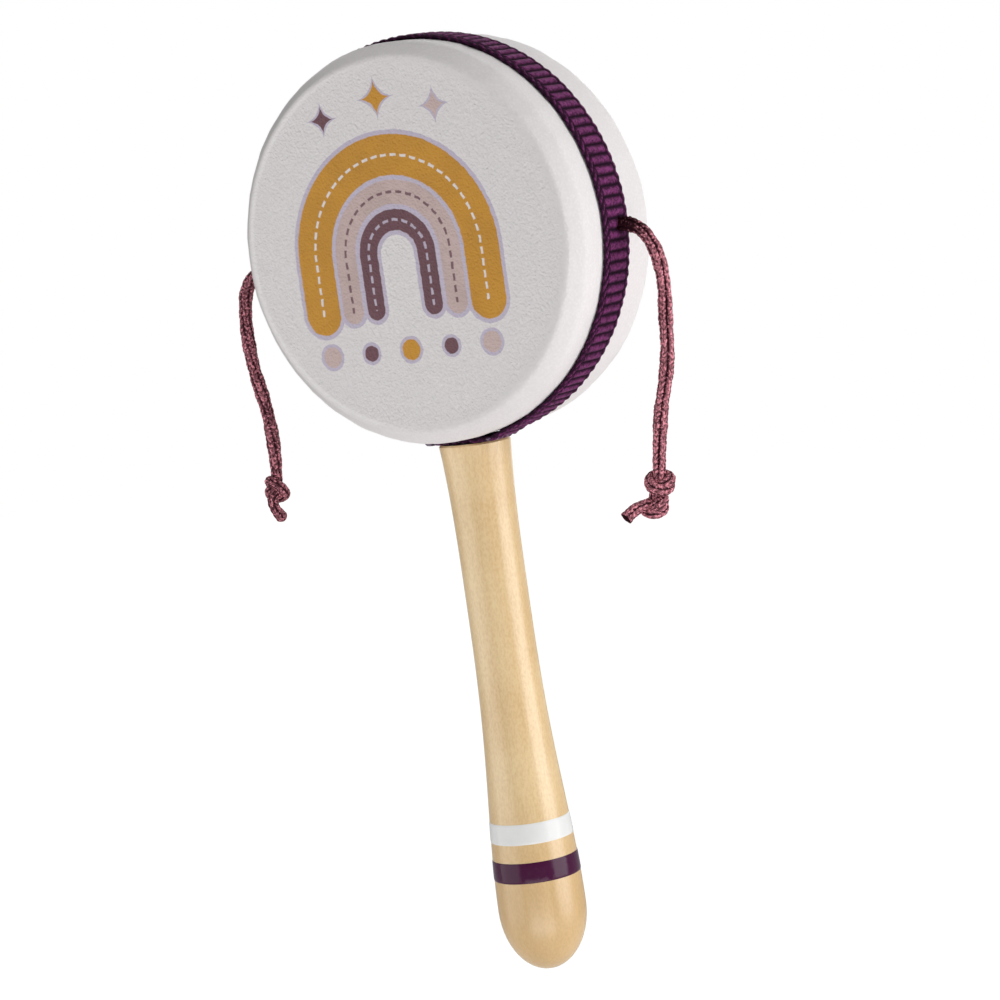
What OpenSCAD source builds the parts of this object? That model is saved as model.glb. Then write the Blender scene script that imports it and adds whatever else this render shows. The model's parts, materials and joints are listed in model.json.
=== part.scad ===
// Pellet drum rattle: a two-headed hand drum on a turned handle, with a knotted striker cord on each side.
// The origin is at the middle of the handle. +Z runs up the handle and the printed head faces -Y.

/* [Drum] */
// Diameter over the skins
drum_d = 84; // [70:1:100]
// Thickness over both heads
drum_t = 32; // [28:1:44]
// Radius of the rounded rim of each head
rim_r = 4.2; // [3:0.1:6]
// Thickness of each skin
skin_t = 1; // [0.6:0.1:1.4]
// Wall of the wooden hoop
hoop_wall = 6; // [5:0.5:9]

/* [Ribbon] */
// Width of the ribbon
ribbon_w = 10; // [7:0.5:13]
// Thickness of the ribbon
ribbon_t = 1.2; // [0.6:0.1:2]
// How far the ribbon sits towards the front of the drum's middle
ribbon_shift = 1.8; // [0:0.1:4]

/* [Handle] */
// Length of the handle below the ribbon
handle_len = 115.2; // [108:0.1:140]
// Diameter at the top
handle_top_d = 15.4; // [14:0.2:18]
// Diameter at the waist
waist_d = 13.5; // [11:0.1:15]
// Diameter of the bulb
bulb_d = 19; // [16:0.1:24]
// Distance from the top to the waist
waist_at = 34; // [25:1:50]
// Distance from the bulb's widest place to the end
bulb_end = 13.6; // [10:0.1:18]
// Diameter of the tenon that is glued into the hoop
tenon_d = 9; // [6:0.5:11]

/* [Painted bands] */
// Height of each band
band_h = 4.4; // [2:0.2:6]
// Thickness at which the paint is modelled, flush with the wood
paint_t = 0.4; // [0.3:0.1:0.8]
// Distance from the top of the handle to the white band
white_at = 81.7; // [70:0.1:82]
// Distance from the top of the handle to the purple band
purple_at = 90; // [87:0.1:95]

/* [Cords] */
// Diameter of the cord
cord_d = 3; // [2:0.1:3.4]
// Room between the cord and its hole, all round
cord_room = 0.2; // [0.1:0.05:0.4]
// How far the cord holes sit below the drum's centre
hole_drop = 1.5; // [0:0.5:4]
// Diameter of the knot inside the hoop
inner_knot_d = 7; // [5.5:0.5:9]
// Diameter of the right end knot
right_knot_d = 6.8; // [5.6:0.2:8]
// Diameter of the left end knot
left_knot_d = 5.4; // [4.6:0.2:7]

/* [Hidden] */

// Smoothness of the round pieces
$fn = 96;
// A length that cuts right through any piece
far = 400;

// Colours
wood = "#d9ba8c";
hoop_wood = "#cdaa7a";
skin_white = "#e4e1df";
ribbon_purple = "#572a4d";
paint_white = "#f0eeea";
paint_purple = "#4a1a3f";
cord_plum = "#7a4854";

// Drum
drum_r = drum_d / 2;
half_t = drum_t / 2;
hoop_r = drum_r - skin_t;
hoop_half_t = half_t - skin_t;
hoop_rim_r = rim_r - skin_t;
bore_r = hoop_r - hoop_wall;
ribbon_r = drum_r + ribbon_t;
drum_z = handle_len / 2 + ribbon_r;

// Handle
handle_top_z = handle_len / 2;
bulb_at = handle_len - bulb_end;
// The tenon stops a little short of the hoop's bore
tenon_short = 0.3;
tenon_len = ribbon_r - bore_r - tenon_short;
// How late the handle swells out to its bulb, where 1 is an even swell
swell_ease = 1.4;
// Straight steps of the handle's outline, and the angle of its steps round the end
outline_steps = 34;
end_step = 10;

// Cords, in offsets outwards from the ribbon's surface and up from the hole
cord_r = cord_d / 2;
hole_r = cord_r + cord_room;
hole_z = drum_z - hole_drop;
wall_in = ribbon_r - bore_r;
// The skins' edges meet under the ribbon, with a narrow gap between them, just in front of the cord holes
seam_gap = 0.4;
seam_margin = 0.8;
seam_at = hole_r + seam_margin;
// How far the straight stretch through the wall stands out of the ribbon
neck_out = 1;
// Room between the inner knot and the hoop's bore
knot_room = 0.5;
right_route = [
    [neck_out, 0], [3.9, -1.4], [6.4, -5], [7.5, -9.5], [7.6, -14], [7.2, -18], [6.8, -22], [6.4, -26],
    [5.5, -30.5], [4.3, -34.5], [3, -38.5], [2, -43], [1.2, -47], [0.5, -51]
];
left_route = [
    [neck_out, 0], [4.4, -0.4], [7.7, -2], [10.1, -5], [11.2, -9], [11.7, -13.5], [11.6, -18],
    [11.2, -22], [10.5, -26], [9.7, -30.5], [9.2, -35], [9.1, -39.5], [9.3, -43.5], [9.6, -46]
];
// Places in each route where the stretch that bends starts and ends
right_bend = [5, 7];
left_bend = [6, 8];
cord_sides = 8;

// Knots: height of a turn of cord, the step to the next turn, and how the right knot's second turn differs
inner_turn_h = 4.6;
right_turn_h = 4.4;
right_turn_step = 3.9;
right_turn_shrink = 0.88;
right_turn_in = 1;
left_turn_h = 2.9;
left_turn_step = 2.5;
// Tails: diameter, direction (outwards, sideways, up) and length from the middle of the last turn
tail_d = 2.6;
right_tail = [-0.4, -0.78, -0.47];
right_tail_len = 8.5;
left_tail = [-0.1, 0, -1];
left_tail_len = 6.5;

// Radius of the handle at a distance s from its top
function handle_radius(s) =
    s < waist_at
        ? waist_d / 2 + (handle_top_d - waist_d) / 2 * pow(1 - s / waist_at, 3)
        : waist_d / 2 + (bulb_d - waist_d) / 4
            * (1 - cos(180 * pow((s - waist_at) / (bulb_at - waist_at), swell_ease)));

// Half outline of the handle from its top down, drawn in by an inset
function handle_outline(inset = 0) = [
    [0, 0],
    for (i = [0 : outline_steps - 1])
        let (s = i * bulb_at / outline_steps) [handle_radius(s) - inset, -s],
    for (a = [0 : end_step : 90 - end_step])
        [bulb_d / 2 * cos(a) - inset, -bulb_at - bulb_end * sin(a)],
    [0, -handle_len]
];

// Way that the cord runs at one place of its route
function heading(route, i) =
    let (d = route[min(i + 1, len(route) - 1)] - route[max(i - 1, 0)])
    i == 0 ? [1, 0] : d / norm(d);

// Ring of points round the cord at one place, square to its way
function cord_ring(route, i) =
    let (d = heading(route, i), p = route[i])
    [for (k = [0 : cord_sides - 1])
        let (a = 360 * k / cord_sides, u = cord_r * cos(a))
        [p[0] - d[1] * u, cord_r * sin(a), p[1] + d[0] * u]];

// Faces of a tube: its two ends, and two triangles for each side of each step
function tube_faces(rings) = [
    [for (k = [0 : cord_sides - 1]) k],
    for (r = [0 : rings - 2], k = [0 : cord_sides - 1])
        let (n = (k + 1) % cord_sides, a = r * cord_sides, b = a + cord_sides)
        each [[a + k, b + k, b + n], [a + k, b + n, a + n]],
    [for (k = [cord_sides - 1 : -1 : 0]) (rings - 1) * cord_sides + k]
];

// Lays a piece that is drawn round Z on the drum's axis, its top towards the front or the rear
module on_drum(front = true) {
    translate([0, 0, drum_z])
        rotate([front ? 90 : -90, 0, 0])
            children();
}

// Places a piece of a cord: X outwards from the ribbon's surface, Z up from the hole
module on_side(right) {
    translate([0, 0, hole_z])
        rotate([0, 0, right ? 0 : 180])
            translate([ribbon_r, 0, 0])
                children();
}

// Places a piece past the end of a route: some way along the cord and some way towards the drum
module past_route_end(route, along, inwards = 0) {
    last = len(route) - 1;
    way = heading(route, last);
    place = route[last] + along * way + inwards * [way[1], -way[0]];
    translate([place[0], 0, place[1]])
        children();
}

// Turns a piece that is drawn round Z along the way of a route's end
module along_route_end(route) {
    way = heading(route, len(route) - 1);
    rotate([0, atan2(way[0], way[1]), 0])
        children();
}

// The holes for both cords and for the handle's tenon
module drum_holes() {
    translate([0, 0, hole_z])
        rotate([0, 90, 0])
            cylinder(r = hole_r, h = far, center = true);
    translate([0, 0, handle_top_z])
        cylinder(d = tenon_d, h = drum_r);
}

module drum_shell() {
    color(hoop_wood)
    difference() {
        on_drum()
            rotate_extrude()
                difference() {
                    union() {
                        translate([0, -hoop_half_t])
                            square([hoop_r - hoop_rim_r, 2 * hoop_half_t]);
                        translate([0, hoop_rim_r - hoop_half_t])
                            square([hoop_r, 2 * (hoop_half_t - hoop_rim_r)]);
                        for (end = [-1, 1])
                            translate([hoop_r - hoop_rim_r, end * (hoop_half_t - hoop_rim_r)])
                                circle(hoop_rim_r);
                    }
                    translate([0, -far])
                        square([bore_r, 2 * far]);
                }
        drum_holes();
    }
}

// One skin: a flat head, the rounded rim and a skirt that ends at a height above the drum's middle
module drumhead(front, skirt_end) {
    color(skin_white)
    difference() {
        on_drum(front)
            rotate_extrude() {
                translate([0, half_t - skin_t])
                    square([drum_r - rim_r, skin_t]);
                translate([drum_r - rim_r, half_t - rim_r])
                    intersection() {
                        difference() {
                            circle(rim_r);
                            circle(hoop_rim_r);
                        }
                        square(rim_r);
                    }
                translate([hoop_r, skirt_end])
                    square([skin_t, half_t - rim_r - skirt_end]);
            }
        drum_holes();
    }
}

module front_drumhead() {
    drumhead(true, seam_at + seam_gap / 2);
}

module rear_drumhead() {
    drumhead(false, seam_gap / 2 - seam_at);
}

module ribbon_band() {
    color(ribbon_purple)
    difference() {
        on_drum()
            rotate_extrude()
                translate([drum_r, ribbon_shift - ribbon_w / 2])
                    square([ribbon_t, ribbon_w]);
        drum_holes();
    }
}

// Outline of the paint in one band: the outer layer of the handle over the band's height
module band_outline(at) {
    intersection() {
        difference() {
            polygon(handle_outline());
            polygon(handle_outline(paint_t));
        }
        translate([0, -at - band_h])
            square([bulb_d, band_h]);
    }
}

module painted_band(at, paint) {
    color(paint)
    translate([0, 0, handle_top_z])
        rotate_extrude()
            band_outline(at);
}

module handle() {
    color(wood)
    translate([0, 0, handle_top_z]) {
        rotate_extrude()
            difference() {
                polygon(handle_outline());
                band_outline(white_at);
                band_outline(purple_at);
            }
        cylinder(d = tenon_d, h = tenon_len);
    }
}

module white_band() {
    painted_band(white_at, paint_white);
}

module purple_band() {
    painted_band(purple_at, paint_purple);
}

// One turn of a knot: a round bun with a flat top and bottom, standing on its bottom
module turn(d, h) {
    rotate_extrude()
        translate([0, h / 2])
            intersection() {
                union() {
                    translate([0, -h / 2])
                        square([(d - h) / 2, h]);
                    translate([(d - h) / 2, 0])
                        circle(h / 2);
                }
                translate([0, -h])
                    square([d, 2 * h]);
            }
}

// A turn of an end knot, past the end of a route
module end_turn(route, along, inwards, d, h) {
    past_route_end(route, along, inwards)
        along_route_end(route)
            turn(d, h);
}

// The tail of an end knot, from a place past the end of a route
module end_tail(route, along, inwards, way, length) {
    past_route_end(route, along, inwards)
        rotate([0, acos(way[2] / norm(way)), atan2(way[1], way[0])])
            cylinder(d = tail_d, h = length);
}

// The knot inside the hoop, with the cord's straight stretch through the wall
module inner_knot(right) {
    color(cord_plum)
    on_side(right)
        translate([-wall_in - knot_room, 0, 0])
            rotate([0, 90, 0]) {
                translate([0, 0, -inner_turn_h])
                    turn(inner_knot_d, inner_turn_h);
                cylinder(d = cord_d, h = wall_in + knot_room + neck_out);
            }
}

// A free stretch of cord from one place of its route to another
module cord_stretch(right, route, first, last) {
    color(cord_plum)
    on_side(right)
        polyhedron(
            [for (i = [first : last]) each cord_ring(route, i)],
            tube_faces(last - first + 1)
        );
}

module right_inner_knot() {
    inner_knot(true);
}

module right_cord_upper() {
    cord_stretch(true, right_route, 0, right_bend[0]);
}

module right_cord_bend() {
    cord_stretch(true, right_route, right_bend[0], right_bend[1]);
}

module right_cord_lower() {
    cord_stretch(true, right_route, right_bend[1], len(right_route) - 1);
}

// Two turns, the second one smaller and pulled aside, with the tail towards the front
module right_end_knot() {
    middle = right_turn_step + right_turn_h / 2;
    color(cord_plum)
    on_side(true) {
        end_turn(right_route, 0, 0, right_knot_d, right_turn_h);
        end_turn(right_route, right_turn_step, right_turn_in, right_knot_d * right_turn_shrink, right_turn_h);
        end_tail(right_route, middle, right_turn_in, right_tail, right_tail_len);
    }
}

module left_inner_knot() {
    inner_knot(false);
}

module left_cord_upper() {
    cord_stretch(false, left_route, 0, left_bend[0]);
}

module left_cord_bend() {
    cord_stretch(false, left_route, left_bend[0], left_bend[1]);
}

module left_cord_lower() {
    cord_stretch(false, left_route, left_bend[1], len(left_route) - 1);
}

// Two even turns with the tail straight down
module left_end_knot() {
    color(cord_plum)
    on_side(false) {
        for (along = [0, left_turn_step])
            end_turn(left_route, along, 0, left_knot_d, left_turn_h);
        end_tail(left_route, left_turn_step + left_turn_h / 2, 0, left_tail, left_tail_len);
    }
}

drum_shell();
front_drumhead();
rear_drumhead();
ribbon_band();
handle();
white_band();
purple_band();
right_inner_knot();
right_cord_upper();
right_cord_bend();
right_cord_lower();
right_end_knot();
left_inner_knot();
left_cord_upper();
left_cord_bend();
left_cord_lower();
left_end_knot();
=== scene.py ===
"""Pellet drum rattle: a small two-headed drum on a turned handle, with knotted striker cords."""

import json
import math

import bpy
import numpy as np
from bpy.props import FloatProperty, FloatVectorProperty, IntProperty, PointerProperty
from mathutils import Matrix, Vector, noise


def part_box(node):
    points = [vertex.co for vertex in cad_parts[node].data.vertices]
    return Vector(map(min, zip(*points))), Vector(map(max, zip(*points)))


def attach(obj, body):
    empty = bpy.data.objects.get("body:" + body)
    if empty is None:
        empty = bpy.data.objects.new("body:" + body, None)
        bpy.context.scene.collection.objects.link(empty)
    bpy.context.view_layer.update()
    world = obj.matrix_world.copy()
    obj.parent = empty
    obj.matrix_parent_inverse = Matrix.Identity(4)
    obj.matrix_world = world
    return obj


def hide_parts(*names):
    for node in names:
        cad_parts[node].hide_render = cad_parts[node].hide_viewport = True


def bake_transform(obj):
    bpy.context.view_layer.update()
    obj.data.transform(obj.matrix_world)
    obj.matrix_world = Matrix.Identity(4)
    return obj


bl_info = {
    "name": "Pellet Drum Rattle",
    "version": (1, 0, 0),
    "blender": (4, 5, 0),
    "location": "View3D > Sidebar > Rattle",
    "description": "Dresses the rattle's solids with skins, ribbon, turned wood and knotted cords",
    "category": "Add Mesh",
}

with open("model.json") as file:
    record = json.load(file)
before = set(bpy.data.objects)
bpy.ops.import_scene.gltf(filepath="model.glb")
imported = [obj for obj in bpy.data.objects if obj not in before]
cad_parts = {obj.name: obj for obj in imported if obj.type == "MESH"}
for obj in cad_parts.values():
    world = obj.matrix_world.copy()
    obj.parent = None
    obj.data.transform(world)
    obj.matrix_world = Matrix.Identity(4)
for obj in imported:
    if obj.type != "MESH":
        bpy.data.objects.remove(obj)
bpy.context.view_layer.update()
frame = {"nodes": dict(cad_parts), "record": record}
MM = 0.001
UP = Vector((0, 0, 1))


def span(node):
    """A solid's middle and its size along each axis."""
    low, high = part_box(node)
    return (Vector(low) + Vector(high)) / 2, Vector(high) - Vector(low)


HEAD_MID, HEAD_SIZE = span("front_drumhead")
RIBBON_MID, RIBBON_SIZE = span("ribbon_band")
DRUM_CENTRE = Vector((0, 0, HEAD_MID.z))
SWING = {j["name"]: Vector(j["pos_m"]) for j in frame["record"]["behaviour"]["joints"]}

# Cord routes in mm, from the hole's mouth: outwards, then up. They repeat the solids' routes.
ROUTES = {
    "right": (
        (1, 0), (3.9, -1.4), (6.4, -5), (7.5, -9.5), (7.6, -14), (7.2, -18), (6.8, -22),
        (6.4, -26), (5.5, -30.5), (4.3, -34.5), (3, -38.5), (2, -43), (1.2, -47), (0.5, -51),
    ),
    "left": (
        (1, 0), (4.4, -0.4), (7.7, -2), (10.1, -5), (11.2, -9), (11.7, -13.5), (11.6, -18),
        (11.2, -22), (10.5, -26), (9.7, -30.5), (9.2, -35), (9.1, -39.5), (9.3, -43.5), (9.6, -46),
    ),
}
# Which way along x is outwards for each cord.
OUTWARD = {"right": 1, "left": -1}

# A tight overhand knot in cord diameters: along the cord, then two ways across it.
KNOT = (
    (-0.56, -0.11, 0.09), (-0.21, -0.41, 0.46), (0.21, -0.84, 0.45), (0.68, -1.04, 0.14),
    (1.05, -0.93, -0.32), (1.21, -0.52, -0.74), (1.14, 0.05, -0.91), (0.84, 0.57, -0.8),
    (0.42, 0.82, -0.45), (0, 0.84, 0), (-0.41, 0.82, 0.45), (-0.83, 0.57, 0.8),
    (-1.13, 0.06, 0.92), (-1.22, -0.52, 0.75), (-1.07, -0.92, 0.33), (-0.7, -1.05, -0.13),
    (-0.23, -0.85, -0.45), (0.19, -0.42, -0.47), (0.53, -0.11, -0.1),
)
# The knots' tails in mm: a drop along the cord and a reach across it.
RIGHT_TAIL = ((-0.2, 1.2), (-0.4, 2.8), (-0.1, 4.4), (0.6, 5.9), (1.5, 7.2))
LEFT_TAIL = ((1.7, -1.1), (2.9, -1.3), (4.3, -1.0), (5.7, -0.2), (7.1, 0.6))
INNER_TAIL = ((2.0, 0.4), (3.2, 1.4))

# The knitting: stitch columns round a cord, faces to a column, and rings to a stitch.
COLUMNS, FACES_PER_COLUMN, RINGS_PER_STITCH = 5, 11, 7
# Length over which a cord's end narrows or widens.
TAPER = 4 * MM
# Edges that turn less than this are shaded smooth, and points closer than the weld become one.
SMOOTH_BELOW = math.radians(40)
WELD = 1e-6


def ink(red, green, blue):
    """A colour given as 0 to 255 screen values, in the linear values that the shaders use."""
    return tuple(c / 3294.6 if c <= 10 else ((c / 255 + 0.055) / 1.055) ** 2.4 for c in (red, green, blue))


def dimmed(tint, share):
    """A colour made darker, or brighter where the share is above 1."""
    return tuple(share * c for c in tint)


def within(value):
    """A value held between 0 and 1."""
    return min(1, max(0, value))


# ---------------------------------------------------------------- settings


def length(name, description, default):
    """A length in metres."""
    return FloatProperty(
        name=name, description=description, default=default, min=0, unit="LENGTH", precision=4,
    )


def repeats(name, description, default, fewest, most):
    """A number of like steps."""
    return IntProperty(name=name, description=description, default=default, min=fewest, max=most)


def colour(name, description, default):
    """A colour in linear values."""
    return FloatVectorProperty(
        name=name, description=description, default=default, size=3, subtype="COLOR", min=0, max=1,
    )


def view_angle(name, description, degrees):
    """An angle of the camera."""
    return FloatProperty(name=name, description=description, default=math.radians(degrees), subtype="ANGLE")


def lamp_power(name, description, watts):
    """A lamp's power."""
    return FloatProperty(name=name, description=description, default=watts, min=0, unit="POWER")


class RattleSizes(bpy.types.PropertyGroup):
    """Sizes of the dressed pieces."""

    drum_radius: length("Drum radius", "Radius over the skins", HEAD_SIZE.x / 2)
    half_depth: length("Half depth", "From the drum's middle to a face", -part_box("front_drumhead")[0][1])
    rim_radius: length("Rim radius", "Rounding where a skin turns over the rim", 0.0042)
    skin: length("Skin", "Thickness of the leatherette", 0.001)
    ribbon_radius: length("Ribbon radius", "Radius over the ribbon's ribs", RIBBON_SIZE.x / 2)
    rib_depth: length("Rib depth", "Height of a rib over its groove", 0.0004)
    ribs: repeats("Ribs", "Ribs that fill the whole turn", 120, 24, 240)
    handle_turns: repeats("Handle steps", "Steps round the turned handle", 128, 32, 256)
    waist: length("Waist", "Handle diameter at the waist", 0.0135)
    handle_top: length("Handle top", "Handle diameter at the drum", 0.0154)
    bulb: length("Bulb", "Handle diameter at the widest", 0.019)
    bulb_end: length("Bulb end", "Length of the rounded end below the widest place", 0.0136)
    waist_drop: length("Waist drop", "From the handle's shoulder to the waist", 0.034)
    tenon: length("Tenon", "Diameter of the tenon in the hoop", 0.009)
    cord: length("Cord", "Diameter of the striker cords", 0.003)
    stitch: length("Stitch", "Length of one knitted stitch", 0.00125)
    right_knot: length("Right knot", "Cord diameter within the pulled right knot", 0.0026)
    left_knot: length("Left knot", "Cord diameter within the pulled left knot", 0.0024)


class RattleColours(bpy.types.PropertyGroup):
    """Colours of the finishes."""

    skin: colour("Skin", "White leatherette", ink(244, 239, 239))
    ribbon: colour("Ribbon", "Tops of the ribbon's ribs", ink(134, 58, 117))
    ribbon_groove: colour("Ribbon groove", "Between the ribs", ink(34, 11, 31))
    cord: colour("Cord", "Raised stitches of the cord", ink(241, 155, 169))
    cord_groove: colour("Cord groove", "Between the stitches", ink(44, 12, 22))
    wood: colour("Wood", "Pale wood of the handle", ink(247, 217, 165))
    wood_grain: colour("Wood grain", "Darker streaks of the handle", ink(214, 170, 103))
    white_paint: colour("White paint", "Upper painted band", ink(242, 242, 241))
    purple_paint: colour("Purple paint", "Lower painted band", ink(69, 7, 54))
    ochre: colour("Ochre ink", "Outer arch of the print", ink(214, 154, 56))
    beige: colour("Beige ink", "Middle arch of the print", ink(212, 188, 184))
    plum: colour("Plum ink", "Inner arch of the print", ink(118, 82, 90))
    lilac: colour("Lilac ink", "Outlines of the print", ink(206, 196, 214))


class RattleStage(bpy.types.PropertyGroup):
    """Camera and light."""

    camera: FloatVectorProperty(
        name="Camera", description="Camera position", default=(0.408306, -0.627565, 0.1270245), size=3,
        subtype="TRANSLATION", unit="LENGTH",
    )
    azimuth: view_angle("Azimuth", "View's turn to the right", 32.782)
    elevation: view_angle("Elevation", "View's height", 6.312)
    roll: view_angle("Roll", "Tilt of the picture", -8.226)
    lens: FloatProperty(
        name="Lens", description="Focal length in mm on a 36 mm sensor", default=127.765, min=10, max=500,
    )
    key: lamp_power("Key light", "Power of the broad light on the right", 7.9)
    bounce: lamp_power("Bounce light", "Power of the light thrown up from the front", 2.4)
    fill: lamp_power("Fill light", "Power of the soft light on the left", 4.9)
    back: lamp_power("Back light", "Power of the light behind the rattle", 4.6)
    sky: FloatProperty(
        name="Room light", description="Strength of the even light all round", default=0.32, min=0, max=2,
    )


# ---------------------------------------------------------------- shader nodes


class Wire:
    """A shader socket that takes part in Python arithmetic."""

    def __init__(self, finish, socket):
        self.finish, self.socket = finish, socket

    def sum(self, operation, *terms):
        return self.finish.add("ShaderNodeMath", {"operation": operation}, dict(enumerate(terms)))

    def __add__(self, other):
        return self.sum("ADD", self, other)

    def __radd__(self, other):
        return self.sum("ADD", other, self)

    def __sub__(self, other):
        return self.sum("SUBTRACT", self, other)

    def __rsub__(self, other):
        return self.sum("SUBTRACT", other, self)

    def __mul__(self, other):
        return self.sum("MULTIPLY", self, other)

    def __rmul__(self, other):
        return self.sum("MULTIPLY", other, self)

    def __truediv__(self, other):
        return self.sum("DIVIDE", self, other)

    def __rtruediv__(self, other):
        return self.sum("DIVIDE", other, self)

    def __pow__(self, other):
        return self.sum("POWER", self, other)

    def __rpow__(self, other):
        return self.sum("POWER", other, self)

    def __mod__(self, other):
        return self.sum("FLOORED_MODULO", self, other)

    def __rmod__(self, other):
        return self.sum("FLOORED_MODULO", other, self)

    def __abs__(self):
        return self.sum("ABSOLUTE", self)

    def least(self, other):
        return self.sum("MINIMUM", self, other)

    def most(self, other):
        return self.sum("MAXIMUM", self, other)

    def sine(self):
        return self.sum("SINE", self)

    def beyond(self, other):
        """Length of the right triangle's long side, for distances across two ways."""
        return (self * self + other * other) ** 0.5

    def ease(self, low, high):
        """0 below low, 1 above high, and smooth between."""
        return self.finish.add(
            "ShaderNodeMapRange", {"interpolation_type": "SMOOTHSTEP"},
            {"Value": self, "From Min": low, "From Max": high, "To Min": 0, "To Max": 1},
        )


class Finish:
    """A material in the making."""

    def __init__(self, name):
        self.material = bpy.data.materials.new(name)
        self.material.use_nodes = True
        self.tree = self.material.node_tree
        self.surface = self.tree.nodes["Principled BSDF"]

    def add(self, kind, settings=None, sockets=None, out=0):
        """Adds a node, sets it up, fills or links its sockets, and gives one of its outputs."""
        node = self.tree.nodes.new(kind)
        for key, value in (settings or {}).items():
            setattr(node, key, value)
        for key, value in (sockets or {}).items():
            self.plug(node.inputs[key], value)
        return Wire(self, node.outputs[out])

    def plug(self, socket, value):
        """Links a wire to a socket, or writes a number or colour on it."""
        if isinstance(value, Wire):
            self.tree.links.new(value.socket, socket)
        elif socket.type == "RGBA":
            socket.default_value = (*value, 1)
        else:
            socket.default_value = value

    def place(self):
        return self.add("ShaderNodeTexCoord", out="Object")

    def axes(self, vector):
        split = self.add("ShaderNodeSeparateXYZ", None, {0: vector}).socket.node
        return [Wire(self, o) for o in split.outputs]

    def grain(self, at, scale, detail=2, stretch=None, roughness=0.5):
        """Cloudy noise, 0 to 1, stretched along an axis where that is asked."""
        if stretch:
            at = self.add("ShaderNodeMapping", None, {"Vector": at, "Scale": stretch})
        sockets = {"Vector": at, "Scale": scale, "Detail": detail, "Roughness": roughness}
        return self.add("ShaderNodeTexNoise", None, sockets)

    def attribute(self, name):
        return self.add("ShaderNodeAttribute", {"attribute_name": name}, out="Fac")

    def blend(self, share, under, over):
        """Mixes two colours."""
        return self.add("ShaderNodeMix", {"data_type": "RGBA"}, {0: share, 6: under, 7: over}, out=2)

    def bump(self, height, distance, strength=1):
        sockets = {"Height": height, "Distance": distance, "Strength": strength}
        return self.add("ShaderNodeBump", None, sockets)

    def done(self, **sockets):
        """Fills the surface's own sockets, named with underscores for spaces."""
        for key, value in sockets.items():
            self.plug(self.surface.inputs[key.replace("_", " ")], value)
        return self.material


def soft_arch(u, rise, middle, half_width, foot):
    """Distance into an arch with round feet: above zero within the inked stroke."""
    radius = u.beyond(rise.most(0))
    return half_width - (radius - middle).beyond((rise - foot).least(0))


def arch_print(finish, place, cover, colours):
    """Prints three arches with stitches, sparkles above and beads below on the front skin."""
    # In mm: where the round tops start below the middle, the legs' length, one stitch, and the beads' drop.
    spring, foot, dash, bead_row = 4, -11, 2.4, 24
    # How sharp the sparkles are: 1 is a square on its corner, and less draws its sides in.
    point = 0.6
    arches = (
        (colours.ochre, 20.6, 4.3, colours.skin),
        (colours.beige, 13.0, 2.5, colours.plum),
        (colours.plum, 7.2, 2.2, colours.lilac),
    )
    sparkles = (
        (-14, 25.5, 3.6, colours.plum), (0, 28.5, 4.4, colours.ochre), (14, 25.5, 3.6, colours.beige),
    )
    beads = (
        (-20, 2.2, colours.beige), (-10, 1.7, colours.plum), (0, 2.2, colours.ochre),
        (10, 1.7, colours.plum), (20, 2.2, colours.beige),
    )
    x, _, z = finish.axes(place)
    wobble = (finish.grain(place, 700, 3) - 0.5) * 0.5
    u = x * 1000 + 2 + wobble
    v = (z - DRUM_CENTRE.z) * 1000 - 2.5 + wobble
    rise = v + spring
    ink_cloud = finish.grain(place, 160, 4)
    for tint, middle, half_width, stitch in arches:
        depth = soft_arch(u, rise, middle, half_width, foot)
        tone = finish.blend(ink_cloud.ease(0.3, 0.75) * 0.35, tint, dimmed(tint, 0.72))
        cover = finish.blend(depth.ease(-1.05, -0.8), cover, colours.lilac)
        cover = finish.blend(depth.ease(-0.1, 0.1), cover, tone)
        round_top = finish.add("ShaderNodeMath", {"operation": "ARCTAN2"}, {0: rise.most(0), 1: u}) * middle
        turn = round_top - rise.least(0) * (2 * u.ease(-0.1, 0.1) - 1)
        dashes = (0.62 - abs((turn / dash) % 1 - 0.5) * 2) * 1.2
        seam = dashes.least(depth - half_width + 0.28)
        cover = finish.blend(seam.ease(-0.1, 0.1) * 0.9, cover, stitch)
    for at_u, at_v, size, tint in sparkles:
        reach = (abs(u - at_u) ** point + abs(v - at_v) ** point) ** (1 / point)
        cover = finish.blend((size + 0.5 - reach).ease(-0.1, 0.25), cover, colours.lilac)
        cover = finish.blend((size - 0.6 - reach).ease(-0.1, 0.2), cover, tint)
    for at_u, size, tint in beads:
        reach = (u - at_u).beyond(v + bead_row)
        cover = finish.blend((size + 0.7 - reach).ease(-0.1, 0.1), cover, colours.lilac)
        cover = finish.blend((size - reach).ease(-0.1, 0.1), cover, tint)
    return cover


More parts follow.
